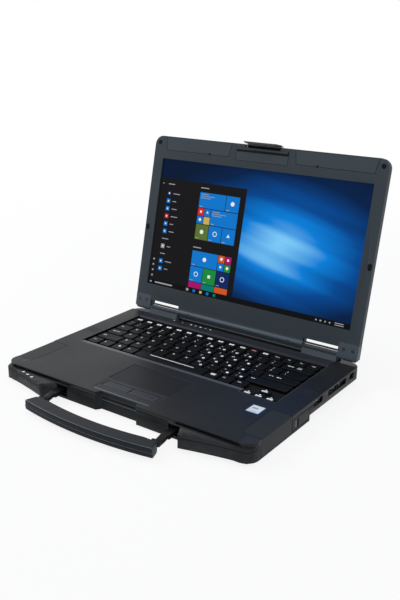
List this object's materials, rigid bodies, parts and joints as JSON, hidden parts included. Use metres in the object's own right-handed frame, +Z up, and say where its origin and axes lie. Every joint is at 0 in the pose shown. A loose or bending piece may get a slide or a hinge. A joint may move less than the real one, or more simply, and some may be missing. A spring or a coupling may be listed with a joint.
{
  "type": "rugged laptop computer",
  "caption": "Semi-rugged laptop computer, screen open, with keyboard, touchpad, lid latch and a pull-out carrying handle at the front.",
  "frame": {"origin": "on the table under the middle of the outline, with the screen open and the handle pulled out", "axes": "+X to the user's right along the hinge, +Y away from the user towards the screen, +Z up"},
  "size_m": [0.345, 0.3546, 0.2669],
  "materials": {
    "case_plastic": "matt charcoal",
    "palm_rest_plastic": "fine matt grey",
    "cap_plastic": "matt charcoal",
    "strip_plastic": "satin charcoal",
    "hinge_plastic": "satin steel blue",
    "pad_plastic": "fine matt",
    "black_plastic": "matt black",
    "key_plastic": "matt black",
    "knob_plastic": "satin grey",
    "lid_plastic": "matt blue grey",
    "frame_plastic": "satin blue grey",
    "grip_plastic": "matt charcoal",
    "screen": "lit display",
    "rubber": "matt black",
    "steel": "brushed",
    "screw_steel": "blackened",
    "latch_metal": "satin black",
    "arm_metal": "satin black",
    "aluminium": "mill finish",
    "copper": "copper",
    "circuit_board": "green board"
  },
  "bodies": {
    "base": {"bottom_case": "case_plastic", "top_case": "palm_rest_plastic", "corner_caps": "cap_plastic", "indicator_strip": "strip_plastic", "hinge_covers": "hinge_plastic", "hinge_brackets": "steel", "hinge_shafts": "steel", "keyboard_tray": "black_plastic", "touchpad": "pad_plastic", "button_frame": "strip_plastic", "speaker_grilles": "black_plastic", "speakers": "black_plastic", "motherboard": "circuit_board", "processor_plate": "copper", "heat_pipe": "copper", "heatsink_fins": "aluminium", "fan_housing": "black_plastic", "memory_modules": "circuit_board", "wireless_card": "circuit_board", "drive_caddy": "aluminium", "drive_door": "cap_plastic", "battery_pack": "black_plastic", "battery_door": "cap_plastic", "right_sockets": "steel", "power_socket": "black_plastic", "handle_guides": "steel", "rubber_feet": "rubber", "case_screws": "screw_steel"},
    "lid": {"lid_cover": "lid_plastic", "screen_frame": "frame_plastic", "display_panel": "screen", "camera_cover": "frame_plastic", "latch_seal": "rubber", "antenna_covers": "frame_plastic", "antenna_boards": "circuit_board", "lid_hinge_caps": "hinge_plastic", "lid_barrel": "lid_plastic", "hinge_arms": "steel", "lid_bumpers": "rubber", "lid_screws": "screw_steel", "latch_pin": "steel"},
    "latch": {"lid_latch": "latch_metal"},
    "handle": {"handle_grip": "grip_plastic", "handle_arms": "arm_metal"},
    "fan": {"fan_rotor": "black_plastic"},
    "function_keys": {"function_keys": "key_plastic"},
    "number_keys": {"number_keys": "key_plastic"},
    "upper_letter_keys": {"upper_letter_keys": "key_plastic"},
    "home_letter_keys": {"home_letter_keys": "key_plastic"},
    "lower_letter_keys": {"lower_letter_keys": "key_plastic"},
    "modifier_keys": {"modifier_keys": "key_plastic"},
    "space_bar": {"space_bar": "key_plastic"},
    "enter_key": {"enter_key": "key_plastic"},
    "backspace_key": {"backspace_key": "key_plastic"},
    "arrow_keys": {"arrow_keys": "key_plastic"},
    "power_button": {"power_button": "key_plastic"},
    "left_click_button": {"left_click_button": "strip_plastic"},
    "right_click_button": {"right_click_button": "strip_plastic"},
    "drive_latch": {"drive_latch": "knob_plastic"},
    "battery_latch": {"battery_latch": "knob_plastic"}
  },
  "joints": [
    {"name": "lid_hinge", "type": "hinge", "parent": "base", "child": "lid", "pos_m": [0, 0.12301, 0.029], "axis": [1, 0, 0], "range_deg": [-47.7, 102.3]},
    {"name": "latch_pivot", "type": "hinge", "parent": "lid", "child": "latch", "pos_m": [0, 0.17375, 0.26173], "axis": [1, 0, 0], "range_deg": [-30, 5], "stiffness_Nm_per_rad": 0.2},
    {"name": "handle_slide", "type": "slide", "parent": "base", "child": "handle", "axis": [0, 1, 0], "range_m": [0, 0.032]},
    {"name": "fan_spin", "type": "hinge", "parent": "base", "child": "fan", "pos_m": [-0.121, 0.08471, 0.008], "axis": [0, 0, 1], "continuous": true},
    {"name": "function_keys_press", "type": "slide", "parent": "base", "child": "function_keys", "axis": [0, 0, -1], "range_m": [0, 0.0018], "stiffness_N_per_m": 1500, "springref_m": -0.0005},
    {"name": "number_keys_press", "type": "slide", "parent": "base", "child": "number_keys", "axis": [0, 0, -1], "range_m": [0, 0.0018], "stiffness_N_per_m": 1500, "springref_m": -0.0005},
    {"name": "upper_letter_keys_press", "type": "slide", "parent": "base", "child": "upper_letter_keys", "axis": [0, 0, -1], "range_m": [0, 0.0018], "stiffness_N_per_m": 1500, "springref_m": -0.0005},
    {"name": "home_letter_keys_press", "type": "slide", "parent": "base", "child": "home_letter_keys", "axis": [0, 0, -1], "range_m": [0, 0.0018], "stiffness_N_per_m": 1500, "springref_m": -0.0005},
    {"name": "lower_letter_keys_press", "type": "slide", "parent": "base", "child": "lower_letter_keys", "axis": [0, 0, -1], "range_m": [0, 0.0018], "stiffness_N_per_m": 1500, "springref_m": -0.0005},
    {"name": "modifier_keys_press", "type": "slide", "parent": "base", "child": "modifier_keys", "axis": [0, 0, -1], "range_m": [0, 0.0018], "stiffness_N_per_m": 1500, "springref_m": -0.0005},
    {"name": "space_bar_press", "type": "slide", "parent": "base", "child": "space_bar", "axis": [0, 0, -1], "range_m": [0, 0.0018], "stiffness_N_per_m": 400, "springref_m": -0.0005},
    {"name": "enter_key_press", "type": "slide", "parent": "base", "child": "enter_key", "axis": [0, 0, -1], "range_m": [0, 0.0018], "stiffness_N_per_m": 300, "springref_m": -0.0005},
    {"name": "backspace_key_press", "type": "slide", "parent": "base", "child": "backspace_key", "axis": [0, 0, -1], "range_m": [0, 0.0018], "stiffness_N_per_m": 300, "springref_m": -0.0005},
    {"name": "arrow_keys_press", "type": "slide", "parent": "base", "child": "arrow_keys", "axis": [0, 0, -1], "range_m": [0, 0.0018], "stiffness_N_per_m": 600, "springref_m": -0.0005},
    {"name": "power_button_press", "type": "slide", "parent": "base", "child": "power_button", "axis": [0, 0, -1], "range_m": [0, 0.0008], "stiffness_N_per_m": 800, "springref_m": -0.0005},
    {"name": "left_click_button_press", "type": "slide", "parent": "base", "child": "left_click_button", "axis": [0, 0, -1], "range_m": [0, 0.0007], "stiffness_N_per_m": 1200, "springref_m": -0.0005},
    {"name": "right_click_button_press", "type": "slide", "parent": "base", "child": "right_click_button", "axis": [0, 0, -1], "range_m": [0, 0.0007], "stiffness_N_per_m": 1200, "springref_m": -0.0005},
    {"name": "drive_latch_slide", "type": "slide", "parent": "base", "child": "drive_latch", "axis": [0, 1, 0], "range_m": [0, 0.003], "stiffness_N_per_m": 150, "springref_m": -0.001},
    {"name": "battery_latch_slide", "type": "slide", "parent": "base", "child": "battery_latch", "axis": [0, 1, 0], "range_m": [0, 0.003], "stiffness_N_per_m": 150, "springref_m": -0.001}
  ]
}
